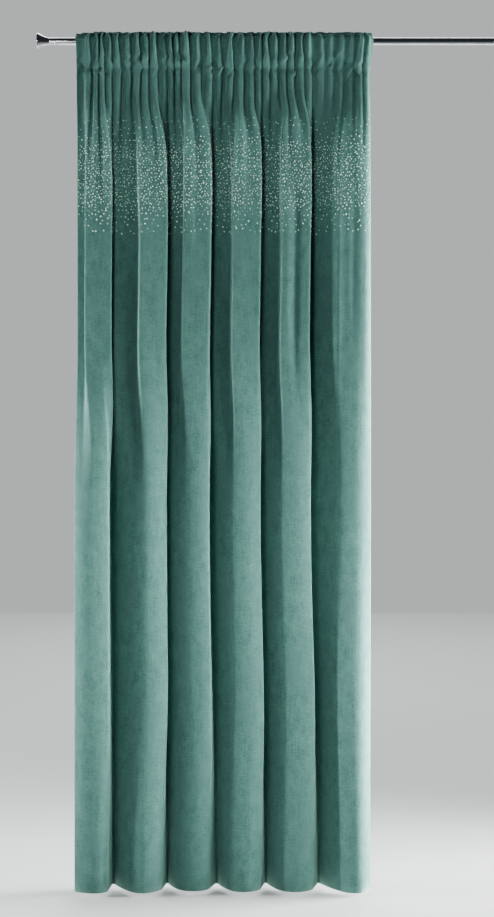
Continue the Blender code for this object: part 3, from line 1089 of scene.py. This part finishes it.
class CurtainCloth(PropertyGroup):
    dark_colour: FloatVectorProperty(
        name="Pile in shade", description="Colour of the velvet where its pile is seen end on",
        default=linear("#2d504b"), **COLOUR,
    )
    light_colour: FloatVectorProperty(
        name="Pile in light", description="Colour of the velvet where its pile lies flat",
        default=linear("#467067"), **COLOUR,
    )
    grey_colour: FloatVectorProperty(
        name="Stroked pile", description="Colour of the velvet where its pile was stroked upwards",
        default=linear("#3e605c"), **COLOUR,
    )
    # Also the colour towards which the painted sheen turns the velvet's base colour
    sheen_colour: FloatVectorProperty(
        name="Sheen colour", description="Colour of the light that grazes the pile",
        default=linear("#b0e6d2"), **COLOUR,
    )
    sheen: FloatProperty(
        name="Sheen", description="How strongly the pile shines at a grazing angle",
        default=1.0, min=0, max=1, subtype="FACTOR",
    )
    # Strength of the painted sheen: the velvet's base colour is painted paler where the cloth
    # turns away from the view
    rim: FloatProperty(
        name="Rim", description="How much paler the pile is where the cloth turns away",
        default=0.11, min=0, max=1, subtype="FACTOR",
    )
    stitch_length: FloatProperty(
        name="Stitch length", description="Length of a stitch on the line under the rod",
        default=0.0036, min=0.0015, max=0.010, unit="LENGTH", precision=4,
    )
    thread: FloatProperty(
        name="Thread", description="Thickness of the sewing thread",
        default=0.0006, min=0.0002, max=0.002, unit="LENGTH", precision=4,
    )


class CurtainStones(PropertyGroup):
    density: FloatProperty(
        name="Density", description="How many stones there are, as a share of the usual number",
        default=1.0, min=0.05, max=1.5, subtype="FACTOR",
    )
    size: FloatProperty(
        name="Size", description="Size of the stones, as a share of the usual size",
        default=1.0, min=0.5, max=2.0, subtype="FACTOR",
    )
    seed: IntProperty(
        name="Scatter", description="Another number gives another scatter of the stones",
        default=21, min=0, max=9999,
    )
    # The pale end of the stones' painted glints, on the few brightest stones
    colour: FloatVectorProperty(
        name="Colour", description="Colour of the brightest stones",
        default=linear("#def8ec"), **COLOUR,
    )
    # The dim end of the stones' painted glints, on the stones that stand for those catching the
    # least light
    painted_dim_colour: FloatVectorProperty(
        name="Dim colour", description="Colour of the stones that catch the least light",
        default=linear("#70a696"), **COLOUR,
    )


class CurtainRod(PropertyGroup):
    polish: FloatProperty(
        name="Roughness", description="Roughness of the chrome, 0 for a perfect mirror",
        default=0.10, min=0.0, max=0.6, subtype="FACTOR",
    )
    chrome_colour: FloatVectorProperty(
        name="Chrome", description="Colour of the polished chrome",
        default=linear("#dcdee0"), **COLOUR,
    )
    chrome_shade: FloatVectorProperty(
        name="Clouding", description="Colour of the chrome where it is faintly clouded",
        default=linear("#cdd0d2"), **COLOUR,
    )


class CurtainStage(PropertyGroup):
    floor_colour: FloatVectorProperty(
        name="Floor", description="Colour of the floor",
        default=linear("#dde0e0"), **COLOUR,
    )
    floor_gap: FloatProperty(
        name="Gap under the hem", description="From the floor to the curtain's hem",
        default=0.012, min=0.0, max=0.3, unit="LENGTH",
    )
    window_light: FloatProperty(
        name="Side light", description="Power of the large soft light on the right",
        default=45.0, min=0.0, max=2000.0, unit="POWER",
    )
    front_light: FloatProperty(
        name="Front light", description="Power of the soft light in front",
        default=17.0, min=0.0, max=2000.0, unit="POWER",
    )


# The stage

# The photograph's viewing angle: level and square to the rod, at half the drop
CAMERA_PLACE = (0.0743, -3.9, -1.3168)
CAMERA_LENS = 48.45
FLOOR_HALF = 7.0

# The studio is dark in front, for deep folds, pale behind the curtain, and dark overhead
STUDIO_FRONT = linear("#282e32")
STUDIO_BEHIND = linear("#c2c5c6")
STUDIO_OVERHEAD = linear("#2b3135")


class Lamp(NamedTuple):
    """A soft rectangular light, in metres, watts and degrees of spread.

    The power is None where a setting of the stage holds it.
    """

    name: str
    place: tuple
    target: tuple
    size: tuple
    power: float
    spread: float


LAMPS = (
    Lamp("window side", (3.15, -0.90, -1.4), (0.0, 0.0, -1.3), (0.9, 1.8), None, 62),
    Lamp("low in front", (2.5, -1.9, -1.8), (0.0, 0.0, -1.78), (0.8, 0.6), 8.8, 36),
    Lamp("on the gathers", (-1.0, -3.0, -0.33), (0.0, 0.0, -0.33), (1.4, 0.2), 0.85, 19),
    Lamp("beside the edge", (2.2, 0.25, -1.7), (0.4, 0.0, -1.6), (0.9, 2.0), 285.0, 70),
    Lamp("left side", (-3.0, -0.15, -1.6), (0.0, -0.05, -1.6), (0.3, 1.7), 55.0, 60),
    Lamp("front", (-1.75, -3.8, -0.9), (0.0, 0.0, -0.9), (1.4, 2.4), None, 90),
    Lamp("floor behind", (0.0, 3.6, 2.6), (0.0, 4.0, -2.7), (6.0, 4.0), 520.0, 180),
)


# Pieces


class CURTAIN_OT_hang_velvet(Operator):
    """Hang the sheet of velvet on the rod, gathered at its heading"""

    bl_idname = "curtain.hang_velvet"
    bl_label = "Hang the Velvet"
    bl_options = {"REGISTER", "UNDO"}

    def execute(self, context):
        cloth = context.scene.curtain_cloth
        piece = show("velvet_sheet", sheet_mesh("velvet_sheet", hung_cloth()), woven_velvet(cloth))
        thickness = piece.modifiers.new("cloth thickness", "SOLIDIFY")
        thickness.thickness = CLOTH_THICKNESS
        thickness.offset = 0
        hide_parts("curtain")
        return {"FINISHED"}


class CURTAIN_OT_sew_pocket(Operator):
    """Sew the line of stitches that closes the rod's pocket, on the front and on the back"""

    bl_idname = "curtain.sew_pocket"
    bl_label = "Sew the Pocket"
    bl_options = {"REGISTER", "UNDO"}

    def execute(self, context):
        settings = context.scene.curtain_cloth
        cloth = hung_cloth()
        normals = grid_normals(cloth.points)
        mesh = bmesh.new()
        for row in (cloth.first_body_row - 1, 0):
            line, outward = cloth.points[row], normals[row]
            place = settings.stitch_length * 0.5
            while place + settings.stitch_length < CLOTH_WIDTH:
                start, end, normal = [
                    np.array([np.interp(flat, cloth.columns, values[:, n]) for n in range(3)])
                    for values, flat in (
                        (line, place),
                        (line, place + settings.stitch_length * STITCH_SHOWN),
                        (outward, place),
                    )
                ]
                normal /= np.linalg.norm(normal)
                lift = normal * CLOTH_THICKNESS / 2
                add_stitch(mesh, start + lift, end + lift, normal, settings.thread)
                place += settings.stitch_length
        data = mesh_of("pocket_stitches", mesh)
        data.shade_smooth()
        piece = show("pocket_stitches", data, sewing_thread(settings))
        return {"FINISHED"}


class CURTAIN_OT_set_stones(Operator):
    """Scatter the stones over the front of the curtain, below its heading"""

    bl_idname = "curtain.set_stones"
    bl_label = "Set the Stones"
    bl_options = {"REGISTER", "UNDO"}

    def execute(self, context):
        stones = context.scene.curtain_stones
        chance = random.Random(stones.seed + 1)
        mesh = bmesh.new()
        for flat, height, diameter in scattered(stones.density, stones.seed):
            place, normal, across = on_cloth(flat, height)
            facing = normal + across * chance.uniform(-STONE_TILT, STONE_TILT)
            facing[2] += chance.uniform(-STONE_TILT, STONE_TILT)
            facing /= np.linalg.norm(facing)
            level = across - facing * float(across @ facing)
            level /= np.linalg.norm(level)
            sunk = place - facing * diameter * STONE_SUNK
            turn = chance.uniform(0, 2 * math.pi / STONE_SIDES)
            add_cut_stone(mesh, sunk, facing, level, diameter * stones.size, turn)
        show("stones", mesh_of("stones", mesh), backed_glass(stones))
        return {"FINISHED"}


class CURTAIN_OT_fit_rod(Operator):
    """Fit the chrome rod with its collars and trumpet finials"""

    bl_idname = "curtain.fit_rod"
    bl_label = "Fit the Rod"
    bl_options = {"REGISTER", "UNDO"}

    def execute(self, context):
        chrome = polished_chrome(context.scene.curtain_rod)
        radius, length = ROD_DIAMETER / 2, ROD_RIGHT - ROD_LEFT
        outline = [(0.0, 0.0), (radius - ROD_EDGE, 0.0), (radius, ROD_EDGE)]
        outline += [(radius, length - ROD_EDGE), (radius - ROD_EDGE, length), (0.0, length)]
        pieces = [("rod", turned_mesh("chrome_rod", outline, ROD_LEFT, 1))]
        for side, end, outwards in (("left", ROD_LEFT, -1), ("right", ROD_RIGHT, 1)):
            place = end
            for node, name, outline, size in (
                ("collar", "beaded_collar", collar_outline(), COLLAR_LENGTH),
                ("finial", "trumpet_finial", finial_outline(), FINIAL_LENGTH),
            ):
                place += outwards * PIECE_GAP
                mesh = turned_mesh(f"{name}_{side}", outline, place, outwards)
                pieces.append((f"{node}_{side}", mesh))
                place += outwards * size
        for node, mesh in pieces:
            piece = show(mesh.name, mesh, chrome)
            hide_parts(node)
        return {"FINISHED"}


class CURTAIN_OT_set_stage(Operator):
    """Lay the floor, set the lights and place the camera"""

    bl_idname = "curtain.set_stage"
    bl_label = "Set the Stage"
    bl_options = {"REGISTER", "UNDO"}

    def execute(self, context):
        stage = context.scene.curtain_stage
        self.lay_floor(stage)
        self.set_lights(stage)
        self.light_studio(context)
        self.set_camera(context)
        return {"FINISHED"}

    def lay_floor(self, stage):
        level = HEM - stage.floor_gap
        mesh = bmesh.new()
        mesh.faces.new([
            mesh.verts.new((x * FLOOR_HALF, y * FLOOR_HALF, level))
            for x, y in ((-1, -1), (1, -1), (1, 1), (-1, 1))
        ])
        data = mesh_of("floor", mesh)
        data.materials.append(sealed_floor(stage))
        floor = bpy.data.objects.new("floor", data)
        bpy.context.scene.collection.objects.link(floor)

    def set_lights(self, stage):
        powers = {"window side": stage.window_light, "front": stage.front_light}
        for name, place, target, size, power, spread in LAMPS:
            data = bpy.data.lights.new(name, "AREA")
            data.shape = "RECTANGLE"
            data.size, data.size_y = size
            data.energy = powers.get(name, power)
            data.spread = math.radians(spread)
            light = bpy.data.objects.new(name, data)
            towards = np.array(target) - np.array(place)
            turn = math.atan2(towards[0], -towards[1])
            rise = math.atan2(towards[2], math.hypot(towards[0], towards[1]))
            light.location = place
            light.rotation_euler = (math.pi / 2 + rise, 0, math.pi + turn)
            bpy.context.scene.collection.objects.link(light)

    def light_studio(self, context):
        world = bpy.data.worlds.new("studio")
        world.use_nodes = True
        tree = world.node_tree
        direction = add(tree, "ShaderNodeTexCoord").outputs["Generated"]
        split = add(tree, "ShaderNodeSeparateXYZ", {"Vector": direction})
        behind = add(tree, "ShaderNodeMapRange", {
            "Value": split.outputs["Y"], "From Min": -0.2, "From Max": 0.5,
        })
        level = add(tree, "ShaderNodeMix", {
            0: behind.outputs["Result"], 6: (*STUDIO_FRONT, 1), 7: (*STUDIO_BEHIND, 1),
        }, data_type="RGBA")
        overhead = add(tree, "ShaderNodeMapRange", {
            "Value": split.outputs["Z"], "From Min": 0.5, "From Max": 0.9,
        })
        colour = add(tree, "ShaderNodeMix", {
            0: overhead.outputs["Result"], 6: level.outputs[2], 7: (*STUDIO_OVERHEAD, 1),
        }, data_type="RGBA")
        tree.links.new(colour.outputs[2], tree.nodes["Background"].inputs["Color"])
        context.scene.world = world

    def set_camera(self, context):
        data = bpy.data.cameras.new("camera")
        data.sensor_fit = "AUTO"
        data.sensor_width = 36.0
        data.lens = CAMERA_LENS
        camera = bpy.data.objects.new("camera", data)
        camera.location = CAMERA_PLACE
        camera.rotation_euler = (math.pi / 2, 0, 0)
        context.scene.collection.objects.link(camera)
        context.scene.camera = camera


class CURTAIN_PT_pieces(Panel):
    """The curtain's pieces and their settings"""

    bl_idname = "CURTAIN_PT_pieces"
    bl_label = "Curtain"
    bl_space_type = "VIEW_3D"
    bl_region_type = "UI"
    bl_category = "Curtain"

    def draw(self, context):
        for title, group, operators in GROUPS:
            box = self.layout.box()
            box.label(text=title)
            settings = getattr(context.scene, group)
            for name in settings.bl_rna.properties.keys():
                if name not in ("rna_type", "name"):
                    box.prop(settings, name)
            for operator in operators:
                box.operator(operator.bl_idname)


GROUPS = (
    ("Cloth", "curtain_cloth", (CURTAIN_OT_hang_velvet, CURTAIN_OT_sew_pocket)),
    ("Stones", "curtain_stones", (CURTAIN_OT_set_stones,)),
    ("Rod", "curtain_rod", (CURTAIN_OT_fit_rod,)),
    ("Stage", "curtain_stage", (CURTAIN_OT_set_stage,)),
)

SETTINGS = {
    "curtain_cloth": CurtainCloth,
    "curtain_stones": CurtainStones,
    "curtain_rod": CurtainRod,
    "curtain_stage": CurtainStage,
}

CLASSES = (
    *SETTINGS.values(),
    CURTAIN_OT_hang_velvet,
    CURTAIN_OT_sew_pocket,
    CURTAIN_OT_set_stones,
    CURTAIN_OT_fit_rod,
    CURTAIN_OT_set_stage,
    CURTAIN_PT_pieces,
)


def register():
    for each in CLASSES:
        bpy.utils.register_class(each)
    for name, group in SETTINGS.items():
        setattr(bpy.types.Scene, name, PointerProperty(type=group))


def unregister():
    for name in SETTINGS:
        delattr(bpy.types.Scene, name)
    for each in reversed(CLASSES):
        bpy.utils.unregister_class(each)


def main():
    register()
    bpy.ops.curtain.hang_velvet()
    bpy.ops.curtain.sew_pocket()
    bpy.ops.curtain.set_stones()
    bpy.ops.curtain.fit_rod()
    bpy.ops.curtain.set_stage()


if __name__ == "__main__":
    main()
